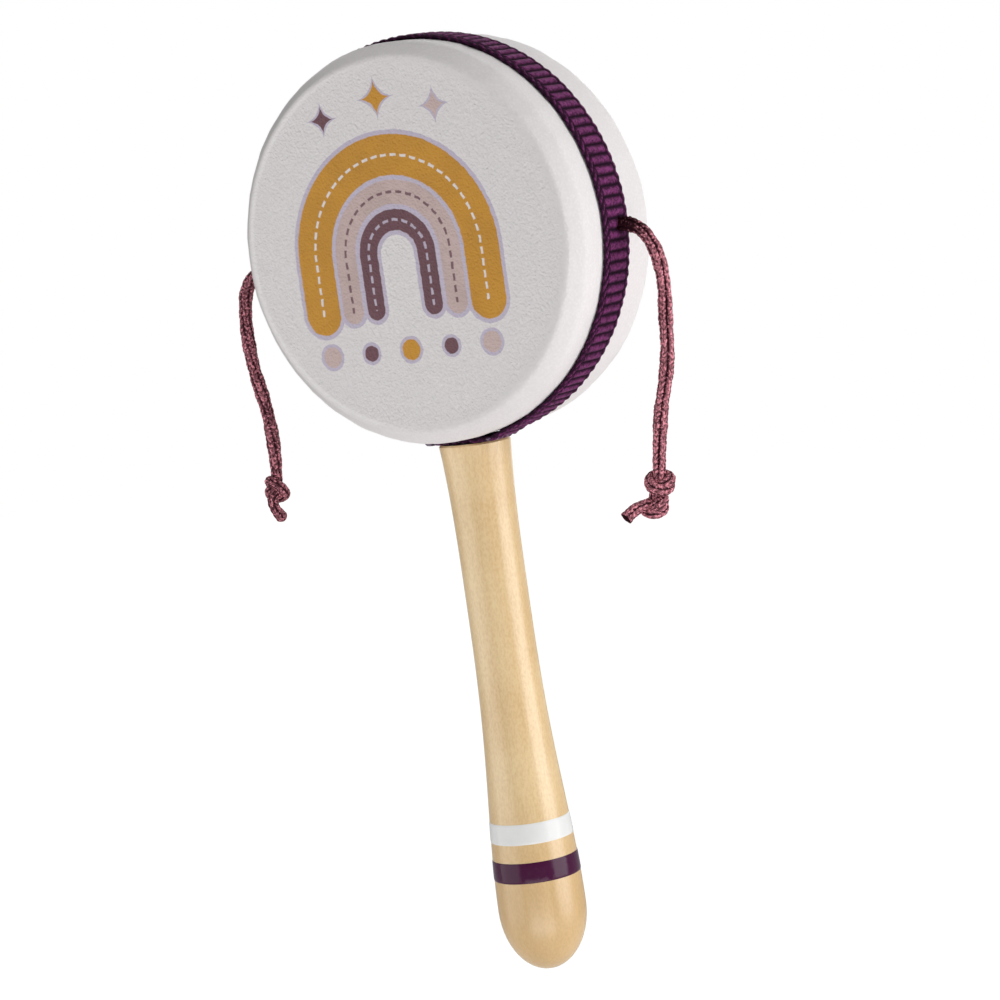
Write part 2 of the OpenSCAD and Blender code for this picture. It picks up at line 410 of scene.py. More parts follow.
def leatherette(name, colours, printed):
    """White leatherette with a fine pebbled grain, printed or bare, and painted shade and highlight round its
    rim.
    """
    finish = Finish(name)
    place = finish.place()
    pebbles = finish.add(
        "ShaderNodeTexVoronoi", {"feature": "SMOOTH_F1"}, {"Vector": place, "Scale": 1500, "Smoothness": 0.5}
    )
    soft = finish.grain(place, 420, 3)
    fine = finish.grain(place, 2200, 2)
    x, y, z = finish.axes(place)
    reach, depth = x.beyond(z - DRUM_CENTRE.z), abs(y)
    height = (pebbles * -0.5 + soft * 0.2 + fine) * (1 - 0.75 * reach.ease(0.0365, 0.041))
    tone = finish.blend(pebbles.ease(0.1, 0.7) * 0.5, colours.skin, dimmed(colours.skin, 0.9))
    tone = finish.blend(fine.ease(0.3, 0.7) * 0.5, tone, dimmed(colours.skin, 0.9))
    # painted shade: a darker band on the rim's bevel, strongest on the left and halved at the bottom
    painted_rim_shade = reach.ease(0.0388, 0.0399) * depth.ease(0.013, 0.0141)
    painted_rim_shade = painted_rim_shade * x.ease(0.0, -0.03) * (1 - 0.5 * z.ease(0.082, 0.062))
    tone = finish.blend(painted_rim_shade, tone, dimmed(colours.skin, 0.6))
    # painted shade: a faint darker ring along the crease on the right side
    crease = reach.ease(0.0366, 0.0381) * reach.ease(0.0393, 0.0384) * x.ease(-0.004, 0.014)
    tone = finish.blend(crease, tone, dimmed(colours.skin, 0.93))
    # painted highlight: a light line along the crease's ridge on the left side
    painted_ridge_highlight = reach.ease(0.0377, 0.0382) * reach.ease(0.0389, 0.0385) * x.ease(0.0, -0.02)
    tone = finish.blend(painted_ridge_highlight * 0.5, tone, (1, 0.98, 0.97))
    handled = finish.grain(place, 35, 3).ease(0.4, 0.8) * 0.25
    tone = finish.blend(handled, tone, dimmed(colours.skin, 0.94))
    if printed:
        tone = arch_print(finish, place, tone, colours)
    return finish.done(
        Base_Color=tone, Roughness=0.52 + soft * 0.14, Normal=finish.bump(height, 0.0003),
        Specular_IOR_Level=0.35,
    )


def ribbed_weave(colours):
    """Ribbed ribbon: bright yarn over each rib, painted shade in the grooves, and specks of dried glue on the
    lapped ends.
    """
    finish = Finish("purple_ribbon")
    place = finish.place()
    rib, lift = finish.attribute("rib"), finish.attribute("across")
    turn = finish.attribute("along")
    yarn = ((lift * 19 + turn * 0.9) * 2 * math.pi).sine() * 0.5 + 0.5
    fuzz = finish.grain(place, 1700, 3, roughness=0.65)
    cloud = finish.grain(place, 330, 3)
    # painted shade: where the rib's height falls into a groove the colour goes dark
    shade = rib * (0.5 + 0.5 * yarn) * (0.25 + fuzz.ease(0.32, 0.68) * 0.75 + cloud * 0.35)
    tone = finish.blend(shade.ease(0.04, 0.85), colours.ribbon_groove, colours.ribbon)
    lap = finish.axes(place)[2].ease(0.0588, 0.0581) * finish.grain(place, 1000, 2).ease(0.52, 0.62)
    tone = finish.blend(lap * 0.55, tone, ink(158, 148, 168))
    return finish.done(
        Base_Color=tone, Roughness=0.62 + 0.25 * (1 - rib),
        Normal=finish.bump(yarn * 0.6 + fuzz * 0.5, 0.00012, 0.8), Specular_IOR_Level=0.1,
    )


def knitted_cord(colours):
    """Satin cord knitted as a tube: raised stitches, with painted shade in the gaps between them and painted
    glints on them.
    """
    finish = Finish("plum_cord")
    place = finish.place()
    stitch = finish.attribute("stitch")
    fibre = finish.grain(place, 3800, 3)
    cloud = finish.grain(place, 240, 2)
    painted_glint = finish.grain(place, 2000, 1).ease(0.5, 0.72)
    # painted highlights: the glints brighten small specks as satin's sheen would; painted shade: low stitch
    # heights take the dark groove colour
    shade = stitch * (0.5 + 0.5 * fibre + 1.2 * painted_glint) + (cloud - 0.5) * 0.25
    tone = finish.blend(shade.ease(0.22, 1.15), colours.cord_groove, colours.cord)
    return finish.done(
        Base_Color=tone, Roughness=0.5 + 0.3 * (1 - stitch), Normal=finish.bump(fibre, 0.00008, 0.7),
        Specular_IOR_Level=0.1,
    )


def turned_wood(name, light, dark, gloss):
    """Close-grained wood with lengthwise streaks and pores. Gloss adds the handle's satin lacquer,
    painted shade that deepens its tone towards the bulb, and painted shade under the drum at the glued
    joint on its shoulder."""
    finish = Finish(name)
    place = finish.place()
    bands = finish.grain(place, 260, 4, (1, 1, 0.07), 0.6)
    streaks = finish.grain(place, 1500, 3, (1, 1, 0.035), 0.6)
    pores = finish.grain(place, 4200, 2, (1, 1, 0.06))
    mottle = finish.grain(place, 55, 3)
    fleck = finish.grain(place, 2400, 2, (1, 1, 0.5))
    share = bands.ease(0.35, 0.75) * 0.25 + streaks.ease(0.45, 0.8) * 0.15
    share = share + mottle.ease(0.35, 0.75) * 0.3 + fleck.ease(0.35, 0.7) * 0.3
    z, shoulder = finish.axes(place)[2], DRUM_CENTRE.z - RIBBON_SIZE.x / 2
    pale, deep, lacquer = light, dark, {}
    if gloss:
        # painted shade: the wood darkens towards the bulb's end
        low = z.ease(-0.01, -0.045)
        pale = finish.blend(low * 0.75, light, dark)
        deep = finish.blend(low, dark, dimmed(dark, 0.84))
        lacquer = {"Coat_Weight": 1.0, "Coat_Roughness": 0.3, "Coat_IOR": 1.85}
    tone = finish.blend(share.least(1), pale, deep)
    tone = finish.blend(pores.ease(0.62, 0.8) * 0.25, tone, dimmed(dark, 0.6))
    if gloss:
        # painted shade: the handle's top and tenon, under the drum, nearly black at the glued joint
        tone = finish.blend(z.ease(shoulder - 0.00006, shoulder), tone, dimmed(dark, 0.06))
    return finish.done(
        Base_Color=tone, Roughness=0.38 + 0.2 * streaks,
        Normal=finish.bump(streaks * 0.3 + fleck * 0.8, 0.00006, 0.7), Specular_IOR_Level=0.25, **lacquer,
    )


def gloss_paint(name, tint, worn):
    """Brushed gloss paint on turned wood, with faint lengthwise ripples and a thin worn tone."""
    finish = Finish(name)
    place = finish.place()
    ripple = finish.grain(place, 320, 3, (1, 1, 0.3))
    pits = finish.grain(place, 1500, 2)
    cloud = finish.grain(place, 150, 3)
    tone = finish.blend(cloud.ease(0.35, 0.8) * 0.5, tint, worn)
    return finish.done(
        Base_Color=tone, Roughness=0.08 + 0.1 * cloud + 0.08 * pits.ease(0.4, 0.7),
        Normal=finish.bump(ripple + pits * 0.35, 0.0001, 0.5), Specular_IOR_Level=0.35,
    )


# ---------------------------------------------------------------- modelling tools


def clear_selection():
    """Leaves edit mode and deselects everything."""
    if bpy.context.mode != "OBJECT":
        bpy.ops.object.mode_set(mode="OBJECT")
    bpy.ops.object.select_all(action="DESELECT")


def named(name):
    """The piece just added, under its own name."""
    piece = bpy.context.active_object
    piece.name = piece.data.name = name
    return piece


def keep(piece, material, body, slot, *nodes):
    """Smooths a finished piece, gives it its finish and sets it on its body in place of the solids."""
    clear_selection()
    bpy.context.view_layer.objects.active = piece
    piece.select_set(True)
    bpy.ops.object.shade_smooth_by_angle(angle=SMOOTH_BELOW)
    piece.data.materials.clear()
    piece.data.materials.append(material)
    if body:
        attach(piece, body)
    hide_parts(*nodes)
    clear_selection()


def lathe(name, outline, axis, centre, steps, closed=False):
    """Turns an outline of (radius, height along the axis) round an axis through a centre."""
    clear_selection()
    axis = Vector(axis)
    out = Vector((1, 0, 0))
    bpy.ops.mesh.primitive_plane_add(size=MM, location=(0, 0, 0))
    piece = named(name)
    bpy.ops.object.mode_set(mode="EDIT")
    bpy.ops.mesh.select_all(action="SELECT")
    bpy.ops.mesh.merge(type="CENTER")
    places = [centre + out * r + axis * h for r, h in outline]
    bpy.ops.transform.translate(value=places[0])
    for here, there in zip(places, places[1:]):
        bpy.ops.mesh.extrude_region_move(TRANSFORM_OT_translate={"value": there - here})
    bpy.ops.mesh.select_all(action="SELECT")
    bpy.ops.mesh.spin(steps=steps, angle=2 * math.pi, center=centre, axis=axis)
    bpy.ops.mesh.select_all(action="SELECT")
    bpy.ops.mesh.remove_doubles(threshold=WELD)
    if closed:
        bpy.ops.mesh.select_all(action="DESELECT")
        bpy.ops.mesh.select_non_manifold()
        bpy.ops.mesh.bridge_edge_loops()
        bpy.ops.mesh.select_all(action="SELECT")
    bpy.ops.mesh.normals_make_consistent(inside=False)
    bpy.ops.object.mode_set(mode="OBJECT")
    return piece


def smooth_line(points, step):
    """Points about a step apart on a smooth line through given points."""
    points = np.array(points, float)
    along = np.concatenate([[0], np.cumsum(np.linalg.norm(np.diff(points, axis=0), axis=1))])
    slope = np.gradient(points, along, axis=0)
    dense = []
    for i in range(len(points) - 1):
        h = along[i + 1] - along[i]
        for t in np.linspace(0, 1, 24, endpoint=False):
            a, b = 2 * t**3 - 3 * t**2 + 1, t**3 - 2 * t**2 + t
            c, d = -2 * t**3 + 3 * t**2, t**3 - t**2
            dense.append(a * points[i] + b * h * slope[i] + c * points[i + 1] + d * h * slope[i + 1])
    dense = np.array([*dense, points[-1]])
    run = np.concatenate([[0], np.cumsum(np.linalg.norm(np.diff(dense, axis=0), axis=1))])
    places = np.linspace(0, run[-1], max(8, round(run[-1] / step)) + 1)
    return np.stack([np.interp(places, run, dense[:, k]) for k in range(3)], axis=1), places


def knit(turn, along, pitch, groove):
    """Height, 0 to 1, of the knitted surface: round columns of chain stitches with grooves between."""
    across = np.abs((turn * COLUMNS) % 1 - 0.5) * 2
    column = np.sqrt(1 - (across * groove) ** 2) * (1 - 0.3 * np.exp(-((across / 0.16) ** 2)))
    uneven = 0.16 * np.sin(along * 1450 + np.floor(turn * COLUMNS) * 2.1) + 0.12 * np.sin(along * 640)
    beat = (along / pitch + uneven + 0.8 * across) % 1 * 2 - 1
    return column * (0.4 + 0.6 * np.sqrt(np.clip(1 - beat**2, 0, 1)))


def knitted_tube(
    name, points, diameter, pitch, end=1.0, twist=0.0, start_turn=0.0, fold=0.0, painted_root_shade=0.0,
    hollow=False, groove=0.99, tip=0.0, painted_shade=0.0,
):
    """A tube of knitted cord along a line, with its stitches modelled, and the points of that line.

    Over the taper's length the diameter comes to the share given as end. A fold is a deeper groove
    along one column's edge, root is the length of the stretch at the start darkened as painted shade
    where the cord leaves its hole, hollow leaves the cut end open with painted shade inside it, tip is
    the length over which an end rounds off, and dull is the share by which painted shade darkens all
    stitches. The stitch heights also carry painted shade into the gaps between stitches.
    """
    line, along = smooth_line(points, pitch / RINGS_PER_STITCH)
    rings, sides = len(line), COLUMNS * FACES_PER_COLUMN
    ahead = np.gradient(line, axis=0)
    ahead /= np.linalg.norm(ahead, axis=1)[:, None]
    side = np.cross(ahead[0], (0, 1, 0) if abs(ahead[0][1]) < 0.9 else (1, 0, 0))
    frames = []
    for t in ahead:
        side = side - t * side.dot(t)
        side /= np.linalg.norm(side)
        frames.append((side, np.cross(t, side)))
    turn = np.arange(sides) / sides
    place = turn[None, :] + along[:, None] * twist + start_turn
    height = knit(place, along[:, None], pitch, groove)
    slack = fold * (0.55 + 0.45 * np.sin(along * 310 + 1) * np.sin(along * 97))[:, None]
    crease = np.exp(-((((place + 0.5) % 1 - 0.5) / 0.035) ** 2)) * slack
    # The fold is darkened in colour too, as painted shade, through the stitch heights.
    height = height * (1 - 0.8 * crease)
    girth = diameter * (1 + 0.05 * np.sin(along * 560 + 2) + 0.035 * np.sin(along * 1690))
    girth = girth * (1 + (end - 1) * np.clip(1 - (along[-1] - along) / TAPER, 0, 1))
    if tip:
        girth = girth * np.sqrt(np.clip(1.03 - np.clip(1 - (along[-1] - along) / tip, 0, 1) ** 2, 0, 1))
    radius = girth[:, None] * (0.52 - 0.15 * (1 - height) - 0.14 * crease)
    # painted shade: the whole cord's stitches darkened by a share
    height = height * (1 - painted_shade)
    # painted shade: the stitches darken towards the start, where the cord comes out of its hole
    if painted_root_shade:
        height = height * (0.3 + 0.7 * np.clip(along / painted_root_shade, 0, 1)[:, None])
    angle = turn * 2 * np.pi
    spokes = [np.cos(angle)[:, None] * f[0] + np.sin(angle)[:, None] * f[1] for f in frames]
    verts = [line[i] + radius[i, :, None] * spokes[i] for i in range(rings)]
    heights = list(height)
    if hollow:
        # painted shade: the open end's inner rings and middle get darker inwards
        for inset, share, tone in ((0, 0.8, 0.5), (0.25, 0.62, 0.0), (0.7, 0.5, -0.6)):
            verts.append(line[-1] - ahead[-1] * diameter * inset + diameter * end * 0.5 * share * spokes[-1])
            heights.append(np.full(sides, tone))
    count = len(verts)
    middle = line[-1] - ahead[-1] * (diameter * 0.7 if hollow else 0)
    verts = np.concatenate([*verts, line[:1], middle[None]])
    heights = np.concatenate([*heights, [0.3], [-0.6 if hollow else 0.3]])
    faces = [
        (i * sides + k, i * sides + (k + 1) % sides, (i + 1) * sides + (k + 1) % sides, (i + 1) * sides + k)
        for i in range(count - 1) for k in range(sides)
    ]
    faces += [(count * sides, (k + 1) % sides, k) for k in range(sides)]
    last = (count - 1) * sides
    faces += [(count * sides + 1, last + k, last + (k + 1) % sides) for k in range(sides)]
    mesh = bpy.data.meshes.new(name)
    mesh.from_pydata(verts.tolist(), [], faces)
    mesh.attributes.new("stitch", "FLOAT", "POINT").data.foreach_set("value", heights.astype(np.float32))
    piece = bpy.data.objects.new(name, mesh)
    bpy.context.collection.objects.link(piece)
    return piece, line


def route_points(side):
    """The listed route of one cord in the rattle's frame."""
    mouth = SWING[side + "_swing"]
    return [mouth + Vector((OUTWARD[side] * out * MM, 0, up * MM)) for out, up in ROUTES[side]]


def wound(middle, ahead, facing, unit, squash):
    """The line of one overhand knot round a middle, along the cord and facing a way across it."""
    ahead = ahead.normalized()
    facing = (facing - ahead * facing.dot(ahead)).normalized()
    third = facing.cross(ahead)
    return [middle + unit * (a * squash * ahead + b * third + c * facing) for a, b, c in KNOT]


def trailing(middle, ahead, across, offsets):
    """Points of a knot's tail, each a drop along the cord and a reach across it in mm."""
    ahead, across = ahead.normalized(), across.normalized()
    return [middle + ahead * drop * MM + across * reach * MM for drop, reach in offsets]


# ---------------------------------------------------------------- operators


class RATTLE_OT_stage(bpy.types.Operator):
    """Sets up the camera, a plain pale floor and soft studio light"""

    bl_idname = "rattle.stage"
    bl_label = "Stage"

    SENSOR, FLOOR_LEVEL, AIM = 36, -0.45, Vector((0, 0, 0.06))
    # Share of the white surroundings that gloss shows, low enough to keep the dark paint deep.
    GLOSS_SHARE = 0.15

    def execute(self, context):
        stage = context.scene.rattle_stage
        clear_selection()
        level_share = math.cos(stage.elevation)
        back = Vector((
            math.sin(stage.azimuth) * level_share, -math.cos(stage.azimuth) * level_share,
            math.sin(stage.elevation),
        ))
        right = Vector((math.cos(stage.azimuth), math.sin(stage.azimuth), 0))
        up = back.cross(right)
        tilt = Matrix.Rotation(stage.roll, 4, "Z")
        bpy.ops.object.camera_add(location=stage.camera)
        camera = context.active_object
        camera.name = "camera"
        level = Matrix((right, up, back)).transposed().to_4x4()
        camera.matrix_world = Matrix.Translation(stage.camera) @ level @ tilt
        camera.data.lens, camera.data.sensor_width = stage.lens, self.SENSOR
        camera.data.clip_start, camera.data.clip_end = 0.01, 20
        context.scene.camera = camera

        bpy.ops.mesh.primitive_plane_add(size=8, location=(0, 0, self.FLOOR_LEVEL))
        floor = named("floor")
        floor.data.materials.append(self.white_floor())

        for name, place, wide, tall, power in (
            ("key_light", (0.99, 0.14, 0.22), 0.85, 1.25, stage.key),
            ("fill_light", (-0.74, -0.76, 0.14), 1.3, 1.3, stage.fill),
            ("bounce_light", (0.25, -0.46, -0.42), 0.8, 0.6, stage.bounce),
            ("back_light", (-0.35, 1.1, 0.35), 0.9, 0.9, stage.back),
        ):
            bpy.ops.object.light_add(type="AREA", location=place)
            lamp = context.active_object
            lamp.name = lamp.data.name = name
            lamp.data.shape = "RECTANGLE"
            lamp.data.energy, lamp.data.size, lamp.data.size_y = power, wide, tall
            lamp.rotation_mode = "QUATERNION"
            lamp.rotation_quaternion = (self.AIM - Vector(place)).to_track_quat("-Z", "Y")
        self.white_room(context.scene, stage.sky)
        context.scene.view_settings.view_transform = "Standard"
        return {"FINISHED"}

    @staticmethod
    def seen(finish):
        """1 for rays that look at the surroundings, 0 for those that light the rattle."""
        rays = finish.add("ShaderNodeLightPath").socket.node.outputs
        kinds = ("Is Camera Ray", "Is Glossy Ray", "Is Transmission Ray")
        camera, glossy, through = (Wire(finish, rays[kind]) for kind in kinds)
        return (camera + glossy * RATTLE_OT_stage.GLOSS_SHARE + through).least(1)

    def white_floor(self):
        """A floor that looks white and keeps the rattle's shadow."""
        finish = Finish("floor_white")
        glow = finish.blend(self.seen(finish), (0, 0, 0), (0.82, 0.82, 0.82))
        return finish.done(
            Base_Color=(0.85, 0.85, 0.85), Roughness=0.9, Specular_IOR_Level=0,
            Emission_Color=glow, Emission_Strength=1,
        )

    def white_room(self, scene, strength):
        """A room that looks white and lights the rattle softly, darker above and on the camera's side."""
        world = bpy.data.worlds.new("room")
        world.use_nodes = True
        scene.world = world
        finish = Finish("room_nodes")
        bpy.data.materials.remove(finish.material)
        finish.tree = world.node_tree
        seen = self.seen(finish)
        background = world.node_tree.nodes["Background"].inputs
        finish.plug(background["Color"], (1, 1, 1))
        x, y, level = finish.axes(finish.add("ShaderNodeTexCoord", out="Generated"))
        shade = (x * 0.4 - y * 0.92).ease(0.5, 0.95)
        light = strength * (1.13 - 0.22 * level.ease(-0.1, 0.9)) * (1 - 0.5 * shade)
        finish.plug(background["Strength"], light + seen * (1 - light))


class RATTLE_OT_strikers(bpy.types.Operator):
    """Makes the two striker cords, each with the overhand knot on its end"""

    bl_idname = "rattle.strikers"
    bl_label = "Striker Cords"

    # How much the left cord's stitches are darkened as painted shade, and the depth and length of stitches in
    # the knots.
    DULL, KNOT_GROOVE, KNOT_STITCH = 0.12, 0.97, 0.9

    def execute(self, context):
        sizes = context.scene.rattle_sizes
        material = knitted_cord(context.scene.rattle_colours)
        # root darkens the start of each cord and dull the whole left cord, both as painted shade.
        knits = {
            "right": {"twist": -1.5, "start_turn": -0.106, "fold": 0.65, "painted_root_shade": 0.006},
            "left": {
                "twist": 11, "start_turn": 0.38, "fold": 0.2, "painted_root_shade": 0.004,
                "groove": 0.94, "painted_shade": self.DULL,
            },
        }
        for side, look in knits.items():
            points = route_points(side)
            cord, line = knitted_tube(side + "_cord", points, sizes.cord, sizes.stitch, end=0.84, **look)
            upper, lower = side + "_upper_cord", side + "_lower_cord"
            stretches = side + "_cord_upper", side + "_cord_bend", side + "_cord_lower"
            keep(cord, material, None, "cord", *stretches)
            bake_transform(cord)
            knot = self.right_knot(points, sizes) if side == "right" else self.left_knot(points, sizes)
            keep(knot, material, lower, "cord", side + "_end_knot")
            run = float(np.linalg.norm(np.diff(line, axis=0), axis=1).sum())
            [tuple(p) for p in line[::6]] + [tuple(line[-1])]
        return {"FINISHED"}

    def right_knot(self, points, sizes):
        """Two overhand knots pulled together, with the tail out to the front."""
        end, ahead = points[-1], (points[-1] - points[-2]).normalized()
        away, inside, front = Vector((-0.54, 0.84, 0)), Vector((0.3, 0.95, 0)), Vector((-0.456, -0.89, 0))
        upper = end + ahead * 2.6 * MM
        lower = end + ahead * 7.3 * MM + Vector((-0.6, -0.4, 0)) * MM
        line = [end - ahead * 0.8 * MM, *wound(upper, ahead, away, 2.05 * MM, 0.5)]
        line += wound(lower, ahead, inside, 1.85 * MM, 0.58) + trailing(lower, ahead, front, RIGHT_TAIL)
        return knitted_tube(
            "right_end_knot_wound", line, sizes.right_knot, sizes.stitch * self.KNOT_STITCH, end=1.12,
            hollow=True, groove=self.KNOT_GROOVE,
        )[0]

    def left_knot(self, points, sizes):
        """One overhand knot pulled tight, with the tail hanging."""
        end, ahead = points[-1], (points[-1] - points[-2]).normalized()
        middle = end + ahead * 2.9 * MM
        line = [end - ahead * 0.8 * MM, *wound(middle, ahead, Vector((0.05, -1, 0)), 1.68 * MM, 0.98)]
        line += trailing(middle, -UP, Vector((0.84, 0.54, 0)), LEFT_TAIL)
        return knitted_tube(
            "left_end_knot_wound", line, sizes.left_knot, sizes.stitch * self.KNOT_STITCH, end=1.25,
            groove=self.KNOT_GROOVE, tip=1.4 * MM, painted_shade=self.DULL,
        )[0]


class RATTLE_OT_inner_knots(bpy.types.Operator):
    """Makes the knots that hold the cords inside the hoop, with their necks through the wall"""

    bl_idname = "rattle.inner_knots"
    bl_label = "Inner Knots"

    def execute(self, context):
        sizes = context.scene.rattle_sizes
        material = bpy.data.materials["plum_cord"]
        for side in OUTWARD:
            mouth = SWING[side + "_swing"]
            out = Vector((OUTWARD[side], 0, 0))
            middle = mouth - out * 11.8 * MM
            line = [mouth - out * depth * MM for depth in (-1, 3, 7.5)]
            line += wound(middle, -out, UP, 1.8 * MM, 0.75) + trailing(middle, -out, -UP, INNER_TAIL)
            # root, longer than the knot, darkens all of it as painted shade inside the hoop.
            knot, _ = knitted_tube(
                side + "_inner_knot_wound", line, sizes.cord * 0.94, sizes.stitch, painted_root_shade=30 * MM, hollow=True,
            )
            keep(knot, material, "drum", "cord", side + "_inner_knot")
        return {"FINISHED"}


class RATTLE_OT_skins(bpy.types.Operator):
    """Makes the front and rear skins, drawn over the hoop's rims"""

    bl_idname = "rattle.skins"
    bl_label = "Skins"

    STEPS_ROUND = 192

    def outline(self, sizes, edge):
        """Half section of a skin: outer face, crease, bevelled rim, side, then back along the inside."""
        radius, depth, rim, skin = sizes.drum_radius, sizes.half_depth, sizes.rim_radius, sizes.skin
        arc = [math.radians(a) for a in range(0, 91, 9)]
        flat = radius - rim
        crease, crisp, shoulder, slope = flat + 0.8 * MM, 1.5 * MM, 3 * MM, math.radians(50)
        dip = nick = 0.2 * MM
        points = [(crease * t, depth - dip) for t in (0, 0.2, 0.4, 0.6, 0.75, 0.86, 0.92)]
        points += [(crease * 0.95, depth - dip * 0.75), (crease * 0.975, depth - dip * 0.2)]
        tips = [slope * t for t in (0, 0.25, 0.5, 0.75, 1)]
        points += [(crease + crisp * math.sin(a), depth - crisp * (1 - math.cos(a))) for a in tips]
        (start, height), reach = points[-1], radius - shoulder * (1 - math.sin(slope)) - points[-1][0]
        points += [(start + reach * t, height - reach * t * math.tan(slope)) for t in (0.25, 0.5, 0.75)]
        height -= reach * math.tan(slope) + shoulder * math.cos(slope)
        turns = [slope + (math.pi / 2 - slope) * t for t in (0, 0.2, 0.4, 0.6, 0.8, 1)]
        points += [(radius - shoulder * (1 - math.sin(a)), height + shoulder * math.cos(a)) for a in turns]
        points += [(radius, edge + (height - edge) * t) for t in (0.66, 0.33, 0.06)]
        points += [(radius - nick, edge), (radius - skin, edge)]
        inner = rim - skin
        points += [(flat + inner * math.sin(a), depth - rim + inner * math.cos(a)) for a in reversed(arc)]
        return points + [(flat * 0.6, depth - skin), (0, depth - skin)]

    def pucker(self, piece, facing):
        """Lets the skin lie unevenly over the rim, as glued leatherette does."""
        for vertex in piece.data.vertices:
            place = vertex.co - DRUM_CENTRE
            radius = math.hypot(place.x, place.z)
            side = within((radius - 0.034) / 0.006) * within((abs(place.y) - 0.003) / 0.003)
            turn = Vector((place.x, 0, place.z)).normalized()
            wave = noise.noise(turn * 9 + Vector((0, place.y * 120, facing * 7)))
            wave += 0.5 * noise.noise(turn * 24)
            wander = noise.noise(turn * 2.2 + Vector((facing, 0, 3))) * within((0.042 - radius) / 0.003)
            vertex.co += turn * (wave * 0.00016 + wander * 0.0003) * side

    def execute(self, context):
        sizes, colours = context.scene.rattle_sizes, context.scene.rattle_colours
        for name, node, facing in (("front_skin", "front_drumhead", -1), ("rear_skin", "rear_drumhead", 1)):
            low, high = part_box(node)
            edge = high[1] * facing if facing < 0 else low[1]
            piece = lathe(name, self.outline(sizes, edge), (0, facing, 0), DRUM_CENTRE, self.STEPS_ROUND)
            self.pucker(piece, facing)
            keep(piece, leatherette(name + "_leatherette", colours, facing < 0), "drum", "skin", node)
        return {"FINISHED"}


